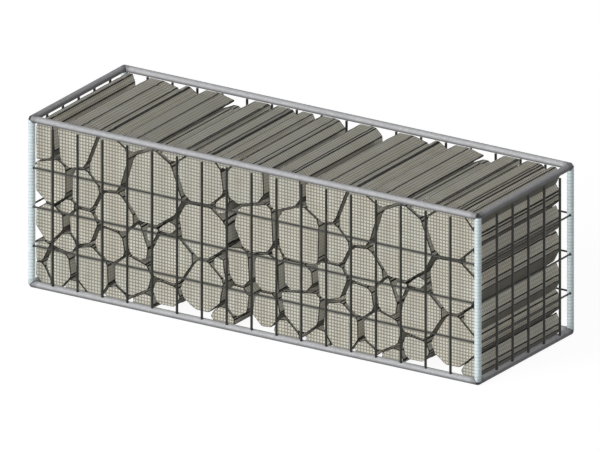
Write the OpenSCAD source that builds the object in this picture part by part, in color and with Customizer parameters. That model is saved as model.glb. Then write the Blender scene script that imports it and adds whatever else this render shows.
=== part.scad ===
// Gabion wall: a tube-framed wire basket packed with long stones that run from front to back.
// Millimetres, +Z up, +X along the wall, -Y is the front face.
// The origin is on the ground, under the middle of the basket.

/* [Frame] */
// Length between the axes of the corner posts
frame_length = 2960; // [2400:10:3600]
// Depth between the axes of the front and back posts
frame_depth = 970; // [700:10:1200]
// Height between the axes of the bottom and top rails
frame_height = 985; // [900:5:1100]
// Outside diameter of every frame tube
tube_d = 40; // [34:1:48]
// Clearance where one tube or wire is fitted to another
weld_gap = 0.2; // [0.1:0.1:0.5]

/* [Mesh] */
// Diameter of the upright wires
upright_d = 15; // [8:1:18]
// Diameter of the level wires
level_d = 11; // [6:1:14]
// Spacing of the upright wires
upright_pitch = 165; // [120:5:220]
// Spacing of the level wires, counted from the bottom rail
level_pitch = 233; // [200:1:260]
// Distance from a front post to the first upright wire of the front or back mesh
long_mesh_start = 146; // [80:1:160]
// Distance from a front post to the first upright wire of an end mesh
end_mesh_start = 180; // [80:1:190]
// Height that the upright wires stop short of the top rail
upright_stop = 10; // [2:1:20]

/* [Stones] */
// Distance from the post axes to the front and back faces of the stones
stone_setback = 49; // [30:1:80]
// Space left between the last stones and the axes of the right-hand posts
right_slack = 30; // [25:1:60]
// Length of wall after which the stone pattern repeats
stone_repeat = 1655; // [1500:5:1800]
// Clearance where one stone sits on another or leans on the mesh
seat_gap = 0.3; // [0.2:0.1:0.6]
// Width of an upright joint between two stones, which narrows as the joint leans
side_gap = 34; // [10:1:50]
// Share of each edge that is knocked off at a square corner of a stone
corner_share = 0.28; // [0.1:0.01:0.4]
// Share that is knocked off where a stone lies against the left end
left_share = 0.05; // [0.02:0.01:0.2]
// Longest piece of an edge that is knocked off at a corner
corner_length = 45; // [20:1:70]
// Space left between the left top rail and the nearest stone
left_clear = 15; // [1:1:40]
// Angle at which the left part of a top stone falls away
crown_left = 33; // [10:1:40]
// Angle at which the right part of a top stone falls away
crown_right = 13; // [8:1:30]
// Half width of the flat on a top stone
crown_half = 45; // [20:1:80]
// Angle at which a stone at the right end falls away above and below its middle
side_lean = 26; // [10:1:35]
// Half height of the upright face on a stone at the right end
side_half = 18; // [10:1:40]

/* [Hidden] */
$fn = 64;
tube_r = tube_d / 2;
upright_r = upright_d / 2;
level_r = level_d / 2;

// Frame axes measured from the origin
left_x = -frame_length / 2;
right_x = frame_length / 2;
front_y = -frame_depth / 2;
back_y = frame_depth / 2;
bottom_z = tube_r;
top_z = tube_r + frame_height;

// The mesh lies flush with the outside of the tubes and its wires end against them
mesh_offset = tube_r - max(upright_r, level_r);
function wire_end(r) = sqrt(tube_r * tube_r - pow(max(0, mesh_offset - r), 2)) + weld_gap;
upright_end = wire_end(upright_r);
level_end = wire_end(level_r);
level_count = floor((frame_height - level_pitch) / level_pitch);
upright_length = frame_height - 2 * upright_end - upright_stop;

// The space that the stones fill, measured from the left post and the bottom rail
fill_left = seat_gap - (mesh_offset - upright_r);
fill_right = frame_length - right_slack;
fill_bottom = -tube_r;
fill_top = frame_height;
stone_length = frame_depth - 2 * stone_setback;
rail_room = tube_r + seat_gap;

// Fill height for which the stone places below were chosen
drawn_height = 985;
// Joints that lie flatter than this are seats, and steeper ones are open joints
seat_slope = 0.55;
// Stones further apart than this never meet
reach = 700;
// Largest share of an edge that a knocked corner may take
most_share = 0.4;

// Each stone is [distance along, height, radius of the circle that it fills]
left_stones = [
    [40, 850, 110], [100, 615, 125], [195, 490, 45], [90, 370, 100],
    [185, 280, 55], [20, 180, 50], [150, 120, 95], [25, 50, 65], [255, 30, 45]
];
bay_stones = [
    [250, 870, 138], [480, 780, 140], [765, 695, 200], [1085, 815, 150],
    [620, 1010, 40], [945, 990, 45], [1262, 965, 40],
    [305, 615, 105], [515, 510, 110], [300, 385, 90], [490, 310, 100],
    [675, 345, 80], [755, 375, 48], [360, 145, 125], [620, 150, 115],
    [545, 25, 50], [690, 20, 50], [862, 80, 55], [895, 310, 142],
    [903, 500, 42], [1095, 525, 160], [1100, 180, 140], [1240, 335, 40],
    [1215, 675, 55], [1225, 40, 50]
];
middle_stones = [
    [1390, 855, 130], [1645, 865, 120], [1455, 605, 150], [1740, 620, 172],
    [1345, 350, 95], [1510, 360, 95], [1588, 520, 45], [1735, 370, 100],
    [1765, 170, 125], [1335, 140, 80], [1515, 120, 90], [1650, 40, 65],
    [1870, 45, 60]
];
// Places where no stone lies, in the same form
left_voids = [[0, 500, 30], [0, 300, 30]];
bay_voids = [[862, -30, 40], [985, 0, 40], [1100, -30, 50]];
middle_voids = [[1410, 20, 60], [1290, 650, 45], [1325, 545, 45], [1530, -50, 55]];

// Puts a place from the lists at its height in the basket and along the wall
function placed(list, along) = [
    for (s = list)
        [s[0] + along, s[1] * frame_height / drawn_height, s[2]]
];
repeats = ceil(frame_length / stone_repeat);
function filled(left, bay, middle) = concat(
    placed(left, 0),
    [for (k = [0 : repeats]) each placed(bay, k * stone_repeat)],
    [for (k = [0 : repeats]) each placed(middle, k * stone_repeat)]
);
function within(list) = [
    for (s = list)
        if (s[0] < fill_right)
            s
];
stones = within(filled(left_stones, bay_stones, middle_stones));
voids = within(filled(left_voids, bay_voids, middle_voids));

// The part of an outline on the near side of a line with this normal and distance
function trimmed(outline, normal, distance) = [
    for (i = [0 : 1 : len(outline) - 1])
        let (
            here = outline[i],
            next = outline[(i + 1) % len(outline)],
            over_here = here * normal - distance,
            over_next = next * normal - distance
        )
        each concat(
            over_here <= 0 ? [here] : [],
            over_here * over_next < 0
                ? [here + (next - here) * over_here / (over_here - over_next)]
                : []
        )
];

// An outline trimmed half way to each of the other places in turn
function shared(outline, stone, others, gap_scale, k = 0) =
    k == len(others) ? outline :
    let (
        centre = [stone[0], stone[1]],
        across = [others[k][0], others[k][1]] - centre,
        apart = norm(across)
    )
    apart == 0 || apart > reach ? shared(outline, stone, others, gap_scale, k + 1) :
    let (
        normal = across / apart,
        half_way = (apart * apart + stone[2] * stone[2] - others[k][2] * others[k][2]) / (2 * apart),
        gap = seat_gap + side_gap * max(0, 1 - abs(normal[1]) / seat_slope)
    )
    shared(
        trimmed(outline, normal, centre * normal + half_way - gap_scale * gap / 2),
        stone, others, gap_scale, k + 1
    );

// The whole fill seen from the front, with its left corners clear of the end rails
function fill_outline() =
    let (
        box = [
            [fill_left, fill_bottom], [fill_right, fill_bottom],
            [fill_right, fill_top], [fill_left, fill_top]
        ],
        low = [-1, -1] / sqrt(2),
        high = [-1, 1] / sqrt(2)
    )
    trimmed(trimmed(box, low, -rail_room), high, [0, frame_height] * high - tube_r - left_clear);

// An outline with a flat knocked on each corner, wider on sharp corners than on blunt ones
function knocked(outline) = [
    for (i = [0 : 1 : len(outline) - 1])
        let (
            here = outline[i],
            before = outline[(i + len(outline) - 1) % len(outline)] - here,
            after = outline[(i + 1) % len(outline)] - here,
            sharpness = 1 + before * after / (norm(before) * norm(after)),
            share = here[0] < fill_left + 1
                ? left_share
                : min(most_share, corner_share * sharpness)
        )
        each [
            here + before * min(share, corner_length / norm(before)),
            here + after * min(share, corner_length / norm(after))
        ]
];

// The faces of a stone that show at the top and at the right end, each as a normal and a point on it
function open_faces(stone) = [
    [[-sin(crown_left), cos(crown_left)], [stone[0] - crown_half, fill_top]],
    [[sin(crown_right), cos(crown_right)], [stone[0] + crown_half, fill_top]],
    [[cos(side_lean), sin(side_lean)], [fill_right, stone[1] + side_half]],
    [[cos(side_lean), -sin(side_lean)], [fill_right, stone[1] - side_half]]
];
function dressed(outline, faces, k = 0) =
    k == len(faces) ? outline :
    dressed(trimmed(outline, faces[k][0], faces[k][1] * faces[k][0]), faces, k + 1);

function stone_outline(stone) =
    dressed(
        knocked(shared(shared(fill_outline(), stone, stones, 1), stone, voids, 0)),
        open_faces(stone)
    );

// Round tube between two points, along X, Y or Z
module tube(from, to, r = tube_r) {
    run = to - from;
    translate(from)
        rotate(run[0] > 0 ? [0, 90, 0] : run[1] > 0 ? [-90, 0, 0] : [0, 0, 0])
            cylinder(r = r, h = norm(run));
}

module post(x, y) {
    color("#d5e3e6")
        tube([x, y, bottom_z], [x, y, top_z]);
}

// Room for the posts in the tubes that meet them
module post_room() {
    for (x = [left_x, right_x], y = [front_y, back_y])
        tube(
            [x, y, bottom_z - weld_gap],
            [x, y, top_z + weld_gap],
            tube_r + weld_gap
        );
}

module long_rail(y, z) {
    color("#bfbfc0")
        difference() {
            tube([left_x, y, z], [right_x, y, z]);
            post_room();
        }
}

// Room for the long rails in the end rails
module long_rail_room(z) {
    for (y = [front_y, back_y])
        tube(
            [left_x - weld_gap, y, z],
            [right_x + weld_gap, y, z],
            tube_r + weld_gap
        );
}

module end_rail(x, z) {
    color("#bfbfc0")
        difference() {
            tube([x, front_y, z], [x, back_y, z]);
            post_room();
            long_rail_room(z);
        }
}

// Straight wire with eight sides
module wire(from, to, r) {
    run = to - from;
    translate(from)
        rotate(run[0] > 0 ? [0, 90, 0] : run[1] > 0 ? [-90, 0, 0] : [0, 0, 0])
            cylinder(r = r, h = norm(run), $fn = 8);
}

// Mesh in the XZ plane, from the left post axis, with the wires fused where they cross
module mesh(width, start) {
    upright_count = floor((width - start - tube_d) / upright_pitch) + 1;
    color("#2a2b27")
        union() {
            for (i = [0 : upright_count - 1])
                wire(
                    [start + i * upright_pitch, 0, upright_end],
                    [start + i * upright_pitch, 0, upright_end + upright_length],
                    upright_r
                );
            for (j = [1 : level_count])
                wire(
                    [level_end, 0, j * level_pitch],
                    [width - level_end, 0, j * level_pitch],
                    level_r
                );
        }
}

module long_mesh(y) {
    translate([left_x, y, bottom_z])
        mesh(frame_length, long_mesh_start);
}

module end_mesh(x) {
    translate([x, front_y, bottom_z])
        rotate([0, 0, 90])
            mesh(frame_depth, end_mesh_start);
}

// Stones whose centres lie in one course and one bay of the basket
course_count = 3;
bay_count = 4;
function course_of(stone) = min(course_count, 1 + floor(course_count * stone[1] / frame_height));
function bay_of(stone) = min(bay_count, 1 + floor(bay_count * stone[0] / frame_length));

module stone_group(course, bay) {
    color("#aaa79a")
        translate([left_x, back_y - stone_setback, bottom_z])
            rotate([90, 0, 0])
                for (stone = stones)
                    if (course_of(stone) == course && bay_of(stone) == bay)
                        linear_extrude(height = stone_length)
                            polygon(stone_outline(stone));
}

post(left_x, front_y);  // front_left_post
post(right_x, front_y);  // front_right_post
post(left_x, back_y);  // back_left_post
post(right_x, back_y);  // back_right_post
long_rail(front_y, bottom_z);  // front_bottom_rail
long_rail(front_y, top_z);  // front_top_rail
long_rail(back_y, bottom_z);  // back_bottom_rail
long_rail(back_y, top_z);  // back_top_rail
end_rail(left_x, bottom_z);  // left_bottom_rail
end_rail(left_x, top_z);  // left_top_rail
end_rail(right_x, bottom_z);  // right_bottom_rail
end_rail(right_x, top_z);  // right_top_rail
long_mesh(front_y - mesh_offset);  // front_mesh
long_mesh(back_y + mesh_offset);  // back_mesh
end_mesh(left_x - mesh_offset);  // left_mesh
end_mesh(right_x + mesh_offset);  // right_mesh
stone_group(1, 1);  // lower_stones_bay_1
stone_group(1, 2);  // lower_stones_bay_2
stone_group(1, 3);  // lower_stones_bay_3
stone_group(1, 4);  // lower_stones_bay_4
stone_group(2, 1);  // middle_stones_bay_1
stone_group(2, 2);  // middle_stones_bay_2
stone_group(2, 3);  // middle_stones_bay_3
stone_group(2, 4);  // middle_stones_bay_4
stone_group(3, 1);  // upper_stones_bay_1
stone_group(3, 2);  // upper_stones_bay_2
stone_group(3, 3);  // upper_stones_bay_3
stone_group(3, 4);  // upper_stones_bay_4
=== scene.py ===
# Gabion wall: a tube-framed wire basket packed dry with long stones that run from front to back.
# Metres, +Z up, +X along the wall, -Y is the front; the origin is on the ground under the middle.
import math
import random

import bmesh
import bpy
from mathutils import Matrix, Vector, noise


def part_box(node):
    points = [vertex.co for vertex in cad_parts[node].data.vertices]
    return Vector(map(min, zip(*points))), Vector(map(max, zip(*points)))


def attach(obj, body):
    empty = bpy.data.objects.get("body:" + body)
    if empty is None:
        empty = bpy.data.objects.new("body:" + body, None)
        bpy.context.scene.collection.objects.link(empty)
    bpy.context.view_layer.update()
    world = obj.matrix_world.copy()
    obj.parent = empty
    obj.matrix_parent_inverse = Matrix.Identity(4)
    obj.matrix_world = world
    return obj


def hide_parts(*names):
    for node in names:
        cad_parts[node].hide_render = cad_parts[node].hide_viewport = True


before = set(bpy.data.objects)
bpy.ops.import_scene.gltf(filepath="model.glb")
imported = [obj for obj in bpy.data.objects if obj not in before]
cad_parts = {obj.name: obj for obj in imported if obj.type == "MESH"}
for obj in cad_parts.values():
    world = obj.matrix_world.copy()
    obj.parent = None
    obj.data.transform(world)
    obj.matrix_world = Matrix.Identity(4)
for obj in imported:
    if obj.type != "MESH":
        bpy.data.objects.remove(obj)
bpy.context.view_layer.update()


# Posts
# Four upright lengths of 40 mm round tube at the corners, in a pale blue-white coat over zinc.
# The coat is laid on in narrow rings, which still show, and is rubbed near the ground.
# Each weld between a post and a rail has left a thin burnt seam.
post_nodes = ("front_left_post", "front_right_post", "back_left_post", "back_right_post")
post_axis_x = 1.48
post_axis_y = 0.485
tube_radius = 0.02
rail_middle_z = 0.5125
rail_half_height = 0.4925
seam_half_width = 0.0035
seam_softness = 0.3
seam_share = 0.9
ring_pitch = 0.0194
ring_start = 0.0136
ring_width = 0.0075
ring_depth = 0.0008
ring_least = 0.45
ring_cloud = 0.4
strip_count = 7
strip_width = 0.28
strip_share = 0.35
post_cloud_size = 0.06
post_speckle_size = 0.006
post_speckle_detail = 5.0
speckle_height = 0.15
dull_cloud = (0.35, 0.75)
dull_share = 0.5
rubbed_speckle = (0.72, 0.82)
rubbed_height = 0.12
rubbed_by_ground = 0.4
rubbed_share = 0.6
coat_shine = 0.5
coat_roughness = 0.34
speckle_roughness = 0.22
ring_roughness = 0.12
coat_pale = "#d6e2e4"
coat_ring = "#a9bcc2"
coat_dull = "#c9d4d6"
coat_rubbed = "#8d9698"
seam_burnt = "#2e2e2f"


class Value:
    """A node socket that takes part in sums: a sum adds its Math nodes to the socket's own tree."""

    def __init__(self, tree, socket):
        self.tree = tree
        self.socket = socket

    def node(self, kind, settings, sockets, output=0):
        """Adds a node of this type: first its settings, then the values or links of its sockets."""
        made = self.tree.nodes.new(kind)
        for name, setting in settings.items():
            setattr(made, name, setting)
        for name, given in sockets.items():
            if isinstance(given, Value):
                self.tree.links.new(given.socket, made.inputs[name])
            else:
                made.inputs[name].default_value = given
        return Value(self.tree, made.outputs[output])

    def math(self, operation, *terms):
        return self.node("ShaderNodeMath", {"operation": operation}, dict(enumerate(terms)))

    def __add__(self, other):
        return self.math("ADD", self, other)

    def __radd__(self, other):
        return self.math("ADD", other, self)

    def __sub__(self, other):
        return self.math("SUBTRACT", self, other)

    def __rsub__(self, other):
        return self.math("SUBTRACT", other, self)

    def __mul__(self, other):
        return self.math("MULTIPLY", self, other)

    def __rmul__(self, other):
        return self.math("MULTIPLY", other, self)

    def __abs__(self):
        return self.math("ABSOLUTE", self)

    def larger(self, other):
        return self.math("MAXIMUM", self, other)

    def into(self, node, name):
        self.tree.links.new(self.socket, node.inputs[name])


def paint(code):
    """A colour written as it looks on a screen, in the linear values that a socket takes."""
    linear = []
    for start in (1, 3, 5):
        part = int(code[start : start + 2], 16) / 255
        linear.append(part / 12.92 if part <= 0.04045 else ((part + 0.055) / 1.055) ** 2.4)
    return (*linear, 1.0)


def new_finish(name, shine):
    """An empty finish: its material, the place on the piece as a value, and its shader."""
    material = bpy.data.materials.new(name)
    material.use_nodes = True
    tree = material.node_tree
    shader = tree.nodes["Principled BSDF"]
    shader.inputs["Specular IOR Level"].default_value = shine
    place = Value(tree, tree.nodes.new("ShaderNodeTexCoord").outputs["Object"])
    return material, place, shader


def mixed(factor, first, second):
    """The first colour where the factor is 0 and the second where it is 1."""
    return factor.node("ShaderNodeMix", {"data_type": "RGBA"}, {0: factor, 6: first, 7: second}, 2)


def mottled(place, size, detail=3.0, roughness=0.55, stretch=(1.0, 1.0, 1.0)):
    """Soft noise from 0 to 1 whose patches are about this size."""
    spread = place.node("ShaderNodeMapping", {}, {"Vector": place, "Scale": stretch})
    sockets = {"Vector": spread, "Scale": 1 / size, "Detail": detail, "Roughness": roughness}
    return place.node("ShaderNodeTexNoise", {}, sockets)


def between(value, low, high):
    """0 below one level, 1 above the other and smooth from one to the other."""
    sockets = {"Value": value, "From Min": low, "From Max": high}
    return value.node("ShaderNodeMapRange", {"interpolation_type": "SMOOTHSTEP"}, sockets)


def lines(value, pitch, width):
    """1 on thin lines with soft sides at every multiple of the pitch, and 0 between them."""
    return between(value.math("PINGPONG", value, pitch / 2), width * 0.75, width * 0.25)


def axes(place):
    """The three coordinates of a place."""
    return [place.node("ShaderNodeSeparateXYZ", {}, {"Vector": place}, axis) for axis in range(3)]


def facing_of(place):
    """The three parts of the direction that the surface faces."""
    return axes(place.node("ShaderNodeNewGeometry", {}, {}, 1))


def raised(height, distance):
    """A surface normal for a relief of this height."""
    return height.node("ShaderNodeBump", {}, {"Height": height, "Distance": distance, "Strength": 1.0})


def weld_seam(place, along):
    """1 on the burnt line where a tube that runs along this axis meets the two others at a corner."""
    x, y, z = axes(place)
    inward = [post_axis_x - abs(x), post_axis_y - abs(y), rail_half_height - abs(z - rail_middle_z)]
    run = inward.pop(along)
    seams = [abs(run - other.larger(0.0)) for other in inward]
    nearest = place.math("MINIMUM", *seams)
    return between(nearest, seam_half_width * (1 + seam_softness), seam_half_width * (1 - seam_softness))


def post_finish():
    material, place, shader = new_finish("pale_post_coat", coat_shine)
    x, y, z = axes(place)
    angle = place.math("ARCTAN2", abs(y) - post_axis_y, abs(x) - post_axis_x)
    rings = lines(z - ring_start, ring_pitch, ring_width)
    strips = lines(angle, 2 * math.pi / strip_count, strip_width)
    cloud = mottled(place, post_cloud_size)
    speckle = mottled(place, post_speckle_size, post_speckle_detail)
    ring_share = rings * (ring_least + ring_cloud * cloud)
    colour = mixed(between(cloud, *dull_cloud) * dull_share, paint(coat_pale), paint(coat_dull))
    colour = mixed(ring_share.larger(strip_share * strips), colour, paint(coat_ring))
    by_ground = between(z, rubbed_height, 0.0)
    rubbed = between(speckle + rubbed_by_ground * by_ground, *rubbed_speckle)
    colour = mixed(rubbed * rubbed_share, colour, paint(coat_rubbed))
    colour = mixed(weld_seam(place, 2) * seam_share, colour, paint(seam_burnt))
    colour.into(shader, "Base Color")
    roughness = coat_roughness + speckle_roughness * speckle + ring_roughness * rings
    roughness.into(shader, "Roughness")
    raised(speckle * speckle_height - rings, ring_depth).into(shader, "Normal")
    return material


post_coat = post_finish()
for name in post_nodes:
    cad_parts[name].material_slots[0].material = post_coat


# Rails
# Eight lengths of the same 40 mm tube: four long ones and four across the ends, hot-dip galvanised.
# Their zinc shows soft crystal patches and drawing marks along the tube, and is dull near the welds.
# Painted shade darkens the undersides of the long rails, and all but the tops of the rails across the
# ends, whose zinc is also painted a little darker as shade.
long_rail_nodes = ("front_bottom_rail", "front_top_rail", "back_bottom_rail", "back_top_rail")
end_rail_nodes = ("left_bottom_rail", "left_top_rail", "right_bottom_rail", "right_top_rail")
drawn_size = 0.004
drawn_detail = 4.0
drawn_noise_roughness = 0.6
drawn_stretch = 0.03
drawn_marks = (0.58, 0.75)
drawn_share = 0.35
drawn_height = 0.6
rail_cloud_size = 0.12
rail_cloud_share = 0.45
crystals_per_metre = 75.0
crystal_share = 0.55
crystal_height = 0.4
scorch_reach = 0.045
scorch_full = 0.018
scorch_spread = 0.012
scorch_share = 0.6
# Painted shade on the rails: where it starts and where it is full, by how far up the surface faces, and
# its share.
long_rail_painted_shade = (0.45, -0.6, 0.75)
end_rail_painted_shade = (0.95, 0.1, 0.8)
zinc_relief = 0.0004
zinc_shine = 0.3
zinc_roughness = 0.5
crystal_roughness = 0.14
drawn_roughness = 0.1
scorch_roughness = 0.15
zinc_light = "#b6b6b8"
zinc_dark = "#a2a3a5"
# The rails across the ends are painted a little darker as shade.
shaded_end_zinc_light = "#afafb2"
shaded_end_zinc_dark = "#9b9c9f"
zinc_drawn = "#87888b"
zinc_scorched = "#77777a"
# The colour of the painted shade on the rails.
zinc_painted_shade = "#49494a"


def rail_finish(name, along, run_end, light, dark, painted_shade):
    """Zinc on a tube that runs along one axis and is welded at both ends of its run.

    The painted shade is given as three numbers: how far up the surface faces where it starts and where
    it is full, and its share there.
    """
    material, place, shader = new_finish(name, zinc_shine)
    stretch = [1.0, 1.0, 1.0]
    stretch[along] = drawn_stretch
    drawn = mottled(place, drawn_size, drawn_detail, drawn_noise_roughness, stretch)
    cloud = mottled(place, rail_cloud_size)
    cell_sockets = {"Vector": place, "Scale": crystals_per_metre}
    cells = place.node("ShaderNodeTexVoronoi", {"feature": "F1"}, cell_sockets, 1)
    crystal = cells.node("ShaderNodeSeparateColor", {}, {"Color": cells})
    end = abs(axes(place)[along])
    scorched = between(end + scorch_spread * cloud, run_end - scorch_reach, run_end - scorch_full)
    colour = mixed(crystal_share * crystal + rail_cloud_share * cloud, paint(light), paint(dark))
    colour = mixed(between(drawn, *drawn_marks) * drawn_share, colour, paint(zinc_drawn))
    colour = mixed(scorched * scorch_share, colour, paint(zinc_scorched))
    # Painted shade: darker as the surface faces further down.
    shade_start, shade_full, shade_share = painted_shade
    shaded = between(facing_of(place)[2], shade_start, shade_full)
    colour = mixed(shaded * shade_share, colour, paint(zinc_painted_shade))
    colour = mixed(weld_seam(place, along) * seam_share, colour, paint(seam_burnt))
    colour.into(shader, "Base Color")
    roughness = zinc_roughness + crystal_roughness * crystal + drawn_roughness * drawn
    (roughness + scorch_roughness * scorched).into(shader, "Roughness")
    raised(drawn * drawn_height + crystal * crystal_height, zinc_relief).into(shader, "Normal")
    return material


long_rail_zinc = rail_finish("long_rail_zinc", 0, post_axis_x, zinc_light, zinc_dark, long_rail_painted_shade)
# The rails across the ends get zinc painted darker as shade, and painted shade on all but their tops.
shaded_end_rail_zinc = rail_finish("shaded_end_rail_zinc", 1, post_axis_y, shaded_end_zinc_light, shaded_end_zinc_dark, end_rail_painted_shade)
for name in long_rail_nodes:
    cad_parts[name].material_slots[0].material = long_rail_zinc
for name in end_rail_nodes:
    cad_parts[name].material_slots[0].material = shaded_end_rail_zinc


# Mesh panels
# Straight steel wires in a near-black coat: 15 mm uprights, and 11 mm level wires set in behind them.
# They are pressed together hot where they cross, and each wire end is welded to the tube that it meets.
upright_radius = 0.0075
level_radius = 0.0055
wire_sides = 12
upright_pitch = 0.165
level_pitch = 0.233
level_count = 3
level_set_in = 0.003
long_mesh_start = 0.146
long_upright_count = 17
end_mesh_start = 0.18
end_upright_count = 5
weld_radius = 0.0084
weld_rounds = 2
weld_turn_most = (6.0, 6.0, 6.0)
weld_turn_seed = 4
wire_cloud_size = 0.05
wire_speckle_size = 0.003
wire_speckle_detail = 4.0
worn_by_cloud = 0.6
worn_by_speckle = 0.5
worn_levels = (0.6, 0.75)
worn_share = 0.7
wire_relief = 0.0002
wire_shine = 0.3
wire_roughness = 0.22
wire_speckle_roughness = 0.15
wire_worn_roughness = 0.15
wire_coat_dark = "#20221e"
wire_coat_worn = "#3b3d37"


def panel_tree():
    """Geometry nodes for one welded mesh panel in its own XZ plane."""
    tree = bpy.data.node_groups.new("welded_mesh_panel", "GeometryNodeTree")
    tree.interface.new_socket("Geometry", in_out="OUTPUT", socket_type="NodeSocketGeometry")
    counts = ("Upright count", "Level count", "Wire sides")
    upright_vectors = ("First upright", "Upright run", "Upright step")
    vectors = (*upright_vectors, "First level", "Level run", "Level step", "Weld set in")
    radii = ("Upright radius", "Level radius", "Weld radius")
    for names, kind in ((counts, "Int"), (vectors, "Vector"), (radii, "Float")):
        for name in names:
            tree.interface.new_socket(name, in_out="INPUT", socket_type="NodeSocket" + kind)
    tree.interface.new_socket("Finish", in_out="INPUT", socket_type="NodeSocketMaterial")
    group_input = tree.nodes.new("NodeGroupInput")
    given = {socket.name: Value(tree, socket) for socket in group_input.outputs}
    start = given["Weld radius"]

    def row(count, first, step):
        sockets = {"Count": given[count], "Start Location": first, "Offset": given[step]}
        return start.node("GeometryNodeMeshLine", {"mode": "OFFSET"}, sockets)

    def wire(run, radius):
        path = start.node("GeometryNodeCurvePrimitiveLine", {}, {"End": given[run]})
        ring_sockets = {"Resolution": given["Wire sides"], "Radius": given[radius]}
        ring = start.node("GeometryNodeCurvePrimitiveCircle", {}, ring_sockets)
        sockets = {"Curve": path, "Profile Curve": ring, "Fill Caps": True}
        return start.node("GeometryNodeCurveToMesh", {}, sockets)

    def moved(geometry, run):
        return start.node("GeometryNodeTransform", {}, {"Geometry": geometry, "Translation": given[run]})

    def placed(points, instance, rotation=None):
        sockets = {"Points": points, "Instance": instance}
        if rotation:
            sockets["Rotation"] = rotation
        return start.node("GeometryNodeInstanceOnPoints", {}, sockets)

    def realized(geometry):
        return start.node("GeometryNodeRealizeInstances", {}, {"Geometry": geometry})

    def part_of(vector, kept):
        sockets = {0: given[vector], 1: kept}
        return start.node("ShaderNodeVectorMath", {"operation": "MULTIPLY"}, sockets)

    uprights = row("Upright count", given["First upright"], "Upright step")
    levels = row("Level count", given["First level"], "Level step")
    upright_wires = placed(uprights, wire("Upright run", "Upright radius"))
    level_wires = placed(levels, wire("Level run", "Level radius"))
    spot_sockets = {"Radius": given["Weld radius"], "Subdivisions": weld_rounds}
    spot = start.node("GeometryNodeMeshIcoSphere", {}, spot_sockets)
    turn_sockets = {"Max": weld_turn_most, "Seed": weld_turn_seed}
    turn = start.node("FunctionNodeRandomValue", {"data_type": "FLOAT_VECTOR"}, turn_sockets)
    crossing_column = row("Level count", part_of("First level", (0, 1, 1)), "Level step")
    column_feet = row("Upright count", part_of("First upright", (1, 1, 0)), "Upright step")
    crossings = realized(placed(column_feet, crossing_column))
    feet = moved(uprights, "Weld set in")
    far_ends = moved(levels, "Level run")
    spots = [placed(points, spot, turn) for points in (crossings, feet, levels, far_ends)]
    join = tree.nodes.new("GeometryNodeJoinGeometry")
    for part in (upright_wires, level_wires, *spots):
        tree.links.new(part.socket, join.inputs[0])
    solid = realized(Value(tree, join.outputs[0]))
    smooth = start.node("GeometryNodeSetShadeSmooth", {}, {0: solid})
    finish_sockets = {"Geometry": smooth, "Material": given["Finish"]}
    coated = start.node("GeometryNodeSetMaterial", {}, finish_sockets)
    group_output = tree.nodes.new("NodeGroupOutput")
    coated.into(group_output, 0)
    return tree


def made_by(tree, name, inputs):
    """A plain mesh piece made by a geometry node tree with these inputs."""
    piece = bpy.data.objects.new(name, bpy.data.meshes.new(name + "_start"))
    bpy.context.scene.collection.objects.link(piece)
    modifier = piece.modifiers.new(tree.name, "NODES")
    modifier.node_group = tree
    for socket in tree.interface.items_tree:
        if socket.in_out == "INPUT":
            modifier[socket.identifier] = inputs[socket.name]
    bpy.context.view_layer.update()
    evaluated = piece.evaluated_get(bpy.context.evaluated_depsgraph_get())
    made = bpy.data.meshes.new_from_object(evaluated)
    piece.modifiers.clear()
    piece.data = made
    made.name = name
    return piece


def wire_finish():
    material, place, shader = new_finish("dark_wire_coat", wire_shine)
    cloud = mottled(place, wire_cloud_size)
    speckle = mottled(place, wire_speckle_size, wire_speckle_detail)
    worn = between(worn_by_cloud * cloud + worn_by_speckle * speckle, *worn_levels)
    colour = mixed(worn * worn_share, paint(wire_coat_dark), paint(wire_coat_worn))
    colour.into(shader, "Base Color")
    roughness = wire_roughness + wire_speckle_roughness * speckle + wire_worn_roughness * worn
    roughness.into(shader, "Roughness")
    raised(speckle, wire_relief).into(shader, "Normal")
    return material


wire_coat = wire_finish()
mesh_panel = panel_tree()


def add_panel(node, uprights, first, inward, corner, quarter_turn):
    """A panel of wires in place of a mesh node, set in from its corner of the frame."""
    low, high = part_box(node)
    run = max(high.x - low.x, high.y - low.y)
    reach = (2 * post_axis_x if quarter_turn == 0 else 2 * post_axis_y) - run
    foot = low.z
    inputs = {
        "Upright count": uprights,
        "Level count": level_count,
        "Wire sides": wire_sides,
        "First upright": (first, 0.0, foot),
        "Upright run": (0.0, 0.0, high.z - foot),
        "Upright step": (upright_pitch, 0.0, 0.0),
        "First level": (reach / 2, inward * level_set_in, tube_radius + level_pitch),
        "Level run": (run, 0.0, 0.0),
        "Level step": (0.0, 0.0, level_pitch),
        "Weld set in": (0.0, inward * level_set_in, 0.0),
        "Upright radius": upright_radius,
        "Level radius": level_radius,
        "Weld radius": weld_radius,
        "Finish": wire_coat,
    }
    piece = made_by(mesh_panel, node + "_wires", inputs)
    piece.data.transform(Matrix.Translation(corner) @ Matrix.Rotation(quarter_turn, 4, "Z"))
    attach(piece, "root")
    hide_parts(node)


outside = tube_radius - upright_radius
quarter = math.pi / 2
front_corner = Vector((-post_axis_x, -post_axis_y - outside, 0.0))
back_corner = Vector((-post_axis_x, post_axis_y + outside, 0.0))
left_corner = Vector((-post_axis_x - outside, -post_axis_y, 0.0))
right_corner = Vector((post_axis_x + outside, -post_axis_y, 0.0))
add_panel("front_mesh", long_upright_count, long_mesh_start, 1, front_corner, 0)
add_panel("back_mesh", long_upright_count, long_mesh_start, -1, back_corner, 0)
add_panel("left_mesh", end_upright_count, end_mesh_start, -1, left_corner, quarter)
add_panel("right_mesh", end_upright_count, end_mesh_start, 1, right_corner, quarter)
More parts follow.
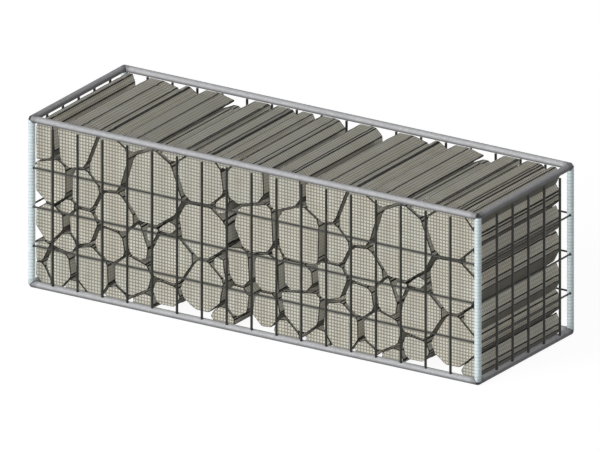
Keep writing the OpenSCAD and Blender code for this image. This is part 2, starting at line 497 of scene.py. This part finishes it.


# Stones
# Seventy-two lengths of split grey-beige stone, laid front to back and packed dry on each other.
# Their ends are dressed flat and scored in fine squares, and dirt has darkened every worn edge.
# Sides and undersides between the stones are painted darker as shade, the sides most deep in the joints
# and inside the wall.
courses = ("lower", "middle", "upper")
bays = (1, 2, 3, 4)
stone_groups = [f"{course}_stones_bay_{bay}" for course in courses for bay in bays]
same_place = 1e-5
same_level = 1e-4
place_digits = 5
flat_angle = math.radians(0.3)
sharp_angle = math.radians(16)
end_facing = 0.9
end_strip = 0.005
side_strip = 0.005
ledge_near = 0.062
ledge_far = 0.08
end_share_least = 0.945
end_share_most = 0.992
lean_reach = 0.004
edge_round = 0.0018
chip_depth = 0.006
chip_grain = 21.0
chip_level = 0.15
face_cell = 0.032
length_cell = 0.048
relief_depth = 0.0022
relief_grain = 9.0
relief_layers = 3
side_tone_spread = 0.06
tone_seed = 72
# Painted shade on the stones' sides is full closer in than these distances from the front and back, and
# from the wall's ends.
deep_shade_from = 0.4
deep_shade_end_from = 1.4
deep_shade_width = 0.08
score_pitch = 0.0194
score_width = 0.0066
score_start = (0.0106, 0.0, 0.0027)
score_across = (0.75, 0.35)
score_least = 0.62
score_on_end = 0.34
score_on_top = 0.18
score_plain = 0.82
score_by_grain = 0.3
stone_cloud_size = 0.14
stone_grain_size = 0.012
stone_grain_detail = 6.0
stone_grain_roughness = 0.65
pit_size = 0.007
pit_detail = 2.0
pit_levels = (0.66, 0.74)
pit_share = 0.45
warm_levels = (0.45, 0.85)
warm_by_tone = 0.25
coarse_levels = (0.45, 0.8)
coarse_share = 0.4
grey_tones = (0.5, -0.1)
grey_share = 0.3
end_levels = (0.6, 0.9)
top_levels = (0.5, 0.9)
# Painted shade: side faces and undersides are darker, by how far down they face.
side_levels = (0.7, 0.05)
below_levels = (0.1, -0.5)
side_shade = 0.22
side_shade_by_cloud = 0.2
side_shade_inside = 0.22
side_shade_near_ends = 0.2
side_shade_deep = 0.8
below_shade = 0.7
below_shade_by_cloud = 0.25
edge_dirt = 0.8
edge_dirt_by_grain = 0.4
stone_shine = 0.35
stone_roughness = 0.78
grain_roughness = 0.15
stone_relief = 0.0015
grain_height = 0.6
score_height = 0.8
pit_height = 0.5
stone_light = "#cfcdc2"
stone_warm = "#c6c0b1"
stone_coarse = "#aeab9e"
stone_grey = "#8e8b7f"
stone_score = "#7d7b70"
stone_pit = "#6d6b60"
# The colour of the painted shade on the stones' sides and undersides.
painted_stone_shade = "#43413a"
stone_dirt = "#100f0c"


def cut(shape, faces, point, normal):
    """Cuts these faces along a plane."""
    edges = {edge for face in faces for edge in face.edges}
    verts = {vert for face in faces for vert in face.verts}
    geometry = [*verts, *edges, *faces]
    bmesh.ops.bisect_plane(shape, geom=geometry, dist=1e-6, plane_co=point, plane_no=normal)


def worn_edges(face, ledges):
    """Each edge of a flat face, without those of the ledge behind an end: a point and the way in."""
    found = []
    centre = face.calc_center_median()
    for edge in face.edges:
        level = abs(edge.verts[0].co.y + edge.verts[1].co.y) / 2
        if min(abs(level - ledge) for ledge in ledges) < same_level:
            continue
        first = edge.verts[0].co.copy()
        along = (edge.verts[1].co - first).normalized()
        into = along.cross(face.normal)
        if into.dot(centre - first) < 0:
            into.negate()
        found.append((first, into))
    return found


def single_stones(node):
    """The stones of a node as separate closed shapes with flat whole faces."""
    group = bmesh.new()
    group.from_mesh(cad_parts[node].data)
    bmesh.ops.remove_doubles(group, verts=group.verts[:], dist=same_place)
    bmesh.ops.dissolve_limit(
        group,
        angle_limit=flat_angle,
        verts=group.verts[:],
        edges=group.edges[:],
        use_dissolve_boundaries=False,
    )
    waiting = set(group.verts)
    stones = []
    while waiting:
        seed = min(waiting, key=lambda vert: (vert.co.x, vert.co.z, vert.co.y))
        together = {seed}
        open_ends = [seed]
        while open_ends:
            here = open_ends.pop()
            for edge in here.link_edges:
                there = edge.other_vert(here)
                if there not in together:
                    together.add(there)
                    open_ends.append(there)
        waiting -= together
        faces = {face for vert in together for face in vert.link_faces}
        stones.append([[vert.co.copy() for vert in face.verts] for face in faces])
    group.free()
    return stones


def rounded(corner):
    return tuple(round(part, place_digits) for part in corner)


def closed_shape(shape_faces):
    """A shape from the corners of its faces, which share the corners that lie in one place."""
    shape = bmesh.new()
    verts = {}
    for corners in sorted(shape_faces, key=lambda points: [rounded(point) for point in points]):
        loop = []
        for corner in corners:
            spot = rounded(corner)
            if spot not in verts:
                verts[spot] = shape.verts.new(corner)
            loop.append(verts[spot])
        shape.faces.new(loop)
    return shape


def extent(shape, axis):
    """The least and the greatest place of a shape along an axis."""
    places = [vert.co[axis] for vert in shape.verts]
    return min(places), max(places)


def set_ends_in(shape, ledges, shade):
    """Makes both ends of a stone a little smaller than its middle, with a slope from ledge to ledge."""
    for level in ledges:
        for end in (-1, 1):
            cut(shape, shape.faces[:], Vector((0, level * end, 0)), Vector((0, 1, 0)))
    at_top = extent(shape, 2)[1] > fill_high[2] - lean_reach
    for axis in (0, 2):
        low, high = extent(shape, axis)
        kept = (low + high) / 2
        if high > fill_high[axis] - lean_reach:
            kept = high
        elif low < fill_low[axis] + lean_reach:
            kept = low
        share = end_share_most if at_top else shade.uniform(end_share_least, end_share_most)
        for vert in shape.verts:
            if abs(vert.co.y) > ledges[0] + same_level:
                vert.co[axis] = kept + (vert.co[axis] - kept) * share
    bmesh.ops.recalc_face_normals(shape, faces=shape.faces[:])


def cut_in_cells(shape):
    """Cuts all faces into cells that are small enough to carry an uneven surface."""
    cells = (face_cell, length_cell, face_cell)
    limits = [extent(shape, axis) for axis in range(3)]
    for axis, ((low, high), cell) in enumerate(zip(limits, cells)):
        normal = Vector((axis == 0, axis == 1, axis == 2))
        count = max(1, round((high - low) / cell))
        for step in range(1, count):
            cut(shape, shape.faces[:], normal * (low + (high - low) * step / count), normal)


def wear(shape, side_of):
    """Moves the surface in by an uneven depth, with round and chipped edges where two sides meet."""
    moves = []
    for vert in shape.verts:
        here = vert.co
        swell = 0.5 + 0.5 * noise.fractal(here * relief_grain, 1.0, 2.0, relief_layers)
        inward = relief_depth * min(1.0, max(0.0, swell))
        if len({face[side_of] for face in vert.link_faces}) > 1:
            chip = max(0.0, noise.noise(here * chip_grain) - chip_level) / (1 - chip_level)
            inward += edge_round + chip_depth * chip
        moves.append(vert.normal * -inward)
    for vert, move in zip(shape.verts, moves):
        vert.co += move


def dressed_stone(shape_faces, tone, shade):
    """One stone with worn edges and an uneven surface, inside the flat shape that it starts from."""
    shape = closed_shape(shape_faces)
    half_length = extent(shape, 1)[1]
    ledges = (half_length - ledge_far, half_length - ledge_near)
    set_ends_in(shape, ledges, shade)
    side_of = shape.faces.layers.int.new("side")
    sides = []
    strips = []
    for index, face in enumerate(shape.faces):
        face[side_of] = index
        sides.append(worn_edges(face, ledges))
        strips.append(end_strip if abs(face.normal.y) > end_facing else side_strip)
    tones = [tone + shade.uniform(-side_tone_spread, side_tone_spread) for _ in sides]
    for index, edges in enumerate(sides):
        for point, into in edges:
            mine = [face for face in shape.faces if face[side_of] == index]
            cut(shape, mine, point + into * strips[index], into)
    cut_in_cells(shape)
    worn = shape.faces.layers.float.new("worn_edge")
    toned = shape.faces.layers.float.new("stone_tone")
    for face in shape.faces:
        centre = face.calc_center_median()
        side = face[side_of]
        nearest = min((centre - point).dot(into) for point, into in sides[side])
        face[worn] = float(nearest < strips[side])
        face[toned] = tones[side]
    shape.normal_update()
    wear(shape, side_of)
    return shape


def stone_finish():
    material, place, shader = new_finish("scored_stone", stone_shine)
    x, y, z = axes(place)
    facing = facing_of(place)
    tone = place.node("ShaderNodeAttribute", {"attribute_name": "stone_tone"}, {}, 2)
    worn = place.node("ShaderNodeAttribute", {"attribute_name": "worn_edge"}, {}, 2)
    scores = None
    for coordinate, first, normal in zip((x, y, z), score_start, facing):
        across = between(abs(normal), *score_across)
        score = lines(coordinate - first, score_pitch, score_width) * across
        scores = score if scores is None else scores.larger(score)
    cloud = mottled(place, stone_cloud_size)
    grain = mottled(place, stone_grain_size, stone_grain_detail, stone_grain_roughness)
    pits = between(mottled(place, pit_size, pit_detail), *pit_levels)
    warm = between(cloud + warm_by_tone * tone, *warm_levels)
    colour = mixed(warm, paint(stone_light), paint(stone_warm))
    colour = mixed(coarse_share * between(grain, *coarse_levels), colour, paint(stone_coarse))
    end_face = between(abs(facing[1]), *end_levels)
    top_face = between(facing[2], *top_levels)
    score_share = score_least + score_on_end * end_face + score_on_top * top_face
    score_share = score_share * (score_plain + score_by_grain * grain)
    colour = mixed(scores * score_share, colour, paint(stone_score))
    colour = mixed(pits * pit_share, colour, paint(stone_pit))
    colour = mixed(between(tone, *grey_tones) * grey_share, colour, paint(stone_grey))
    # Painted shade: side faces darker, more deep in the joints and inside the wall, and undersides
    # darker.
    deep_in_joint = between(abs(y), deep_shade_from, deep_shade_from - deep_shade_width)
    inside = between(abs(x), deep_shade_end_from, deep_shade_end_from - deep_shade_width)
    beside = between(facing[2], *side_levels) * (1 - end_face)
    beside_share = side_shade + side_shade_by_cloud * cloud + side_shade_inside * inside
    beside_share = beside_share * (side_shade_near_ends + side_shade_deep * deep_in_joint)
    colour = mixed(beside * beside_share, colour, paint(painted_stone_shade))
    below = between(facing[2], *below_levels) * (1 - end_face)
    colour = mixed(below * (below_shade + below_shade_by_cloud * cloud), colour, paint(painted_stone_shade))
    colour = mixed(worn * (edge_dirt + edge_dirt_by_grain * grain), colour, paint(stone_dirt))
    colour.into(shader, "Base Color")
    (stone_roughness + grain_roughness * grain).into(shader, "Roughness")
    relief = grain * grain_height - scores * score_height - pits * pit_height
    raised(relief, stone_relief).into(shader, "Normal")
    return material


stone_face = stone_finish()
stone_shade = random.Random(tone_seed)
fill_low = [min(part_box(name)[0][axis] for name in stone_groups) for axis in range(3)]
fill_high = [max(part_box(name)[1][axis] for name in stone_groups) for axis in range(3)]
for group_name in stone_groups:
    group_mesh = bmesh.new()
    for stone_faces in single_stones(group_name):
        stone_tone = stone_shade.uniform(0.0, 1.0)
        stone = dressed_stone(stone_faces, stone_tone, stone_shade)
        stone_mesh = bpy.data.meshes.new("one_stone")
        stone.to_mesh(stone_mesh)
        stone.free()
        group_mesh.from_mesh(stone_mesh)
        bpy.data.meshes.remove(stone_mesh)
    mesh = bpy.data.meshes.new(group_name + "_dressed")
    group_mesh.to_mesh(mesh)
    group_mesh.free()
    mesh.materials.append(stone_face)
    mesh.polygons.foreach_set("use_smooth", [True] * len(mesh.polygons))
    mesh.set_sharp_from_angle(angle=sharp_angle)
    dressed = bpy.data.objects.new(group_name + "_dressed", mesh)
    bpy.context.scene.collection.objects.link(dressed)
    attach(dressed, "root")
    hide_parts(group_name)


# Studio
# A plain pale floor under soft light from the front left, with weaker fills from the right and behind.
# The surround is an even white. The camera looks from the front right and a little above,
# without perspective.
floor_size = 60.0
floor_drop = 0.0006
floor_grey = (0.3, 0.3, 0.3, 1.0)
floor_glow = (0.86, 0.86, 0.86, 1.0)
floor_roughness = 0.9
no_light = (0.0, 0.0, 0.0, 1.0)
surround_white = (1.0, 1.0, 1.0, 1.0)
surround_light = (0.14, 0.14, 0.14, 1.0)
lamps = (
    ("soft_key", (-0.42, -0.88, 0.385), 0.9, True),
    ("soft_fill", (-0.42, -0.88, 0.108), 2.57, False),
    ("side_fill", (0.91, -0.2, 0.36), 0.86, False),
    ("back_fill", (0.1, 0.99, 0.05), 0.9, False),
)
lamp_spread = math.radians(40)
view_azimuth = math.radians(32.35)
view_elevation = math.radians(20.31)
view_width = 3.364
view_distance = 9.0
view_middle = Vector((-0.0077, 0.0, 0.5101))

scene = bpy.context.scene
scene.view_settings.view_transform = "Standard"


def seen_directly(start):
    """1 where a ray comes from the camera, a reflection or through glass."""
    rays = ("Is Camera Ray", "Is Glossy Ray", "Is Transmission Ray")
    camera_ray, glossy_ray, clear_ray = [start.node("ShaderNodeLightPath", {}, {}, ray) for ray in rays]
    return camera_ray.larger(glossy_ray).larger(clear_ray)


floor_shape = bmesh.new()
bmesh.ops.create_grid(floor_shape, x_segments=1, y_segments=1, size=floor_size / 2)
floor_mesh = bpy.data.meshes.new("floor")
floor_shape.to_mesh(floor_mesh)
floor_shape.free()
floor = bpy.data.objects.new("floor", floor_mesh)
floor.location.z = -floor_drop
scene.collection.objects.link(floor)
floor_white, floor_place, floor_shader = new_finish("pale_floor", 0.0)
floor_shader.inputs["Base Color"].default_value = floor_grey
floor_shader.inputs["Roughness"].default_value = floor_roughness
floor_shader.inputs["Emission Strength"].default_value = 1.0
mixed(seen_directly(floor_place), no_light, floor_glow).into(floor_shader, "Emission Color")
floor_mesh.materials.append(floor_white)

world = bpy.data.worlds.new("even_white")
world.use_nodes = True
scene.world = world
backdrop = world.node_tree.nodes["Background"]
world_start = Value(world.node_tree, backdrop.outputs[0])
mixed(seen_directly(world_start), surround_light, surround_white).into(backdrop, "Color")

for lamp_name, direction, strength, casts_shadow in lamps:
    lamp = bpy.data.lights.new(lamp_name, "SUN")
    lamp.energy = strength
    lamp.angle = lamp_spread
    lamp.use_shadow = casts_shadow
    lamp_object = bpy.data.objects.new(lamp_name, lamp)
    lamp_object.rotation_euler = Vector(direction).to_track_quat("Z", "Y").to_euler()
    scene.collection.objects.link(lamp_object)

camera = bpy.data.cameras.new("camera")
camera.type = "ORTHO"
camera.ortho_scale = view_width
camera_object = bpy.data.objects.new("camera", camera)
level_part = math.cos(view_elevation)
toward_camera = Vector(
    (
        math.sin(view_azimuth) * level_part,
        -math.cos(view_azimuth) * level_part,
        math.sin(view_elevation),
    )
)
camera_object.location = view_middle + toward_camera * view_distance
camera_object.rotation_euler = (-toward_camera).to_track_quat("-Z", "Y").to_euler()
scene.collection.objects.link(camera_object)
scene.camera = camera_object
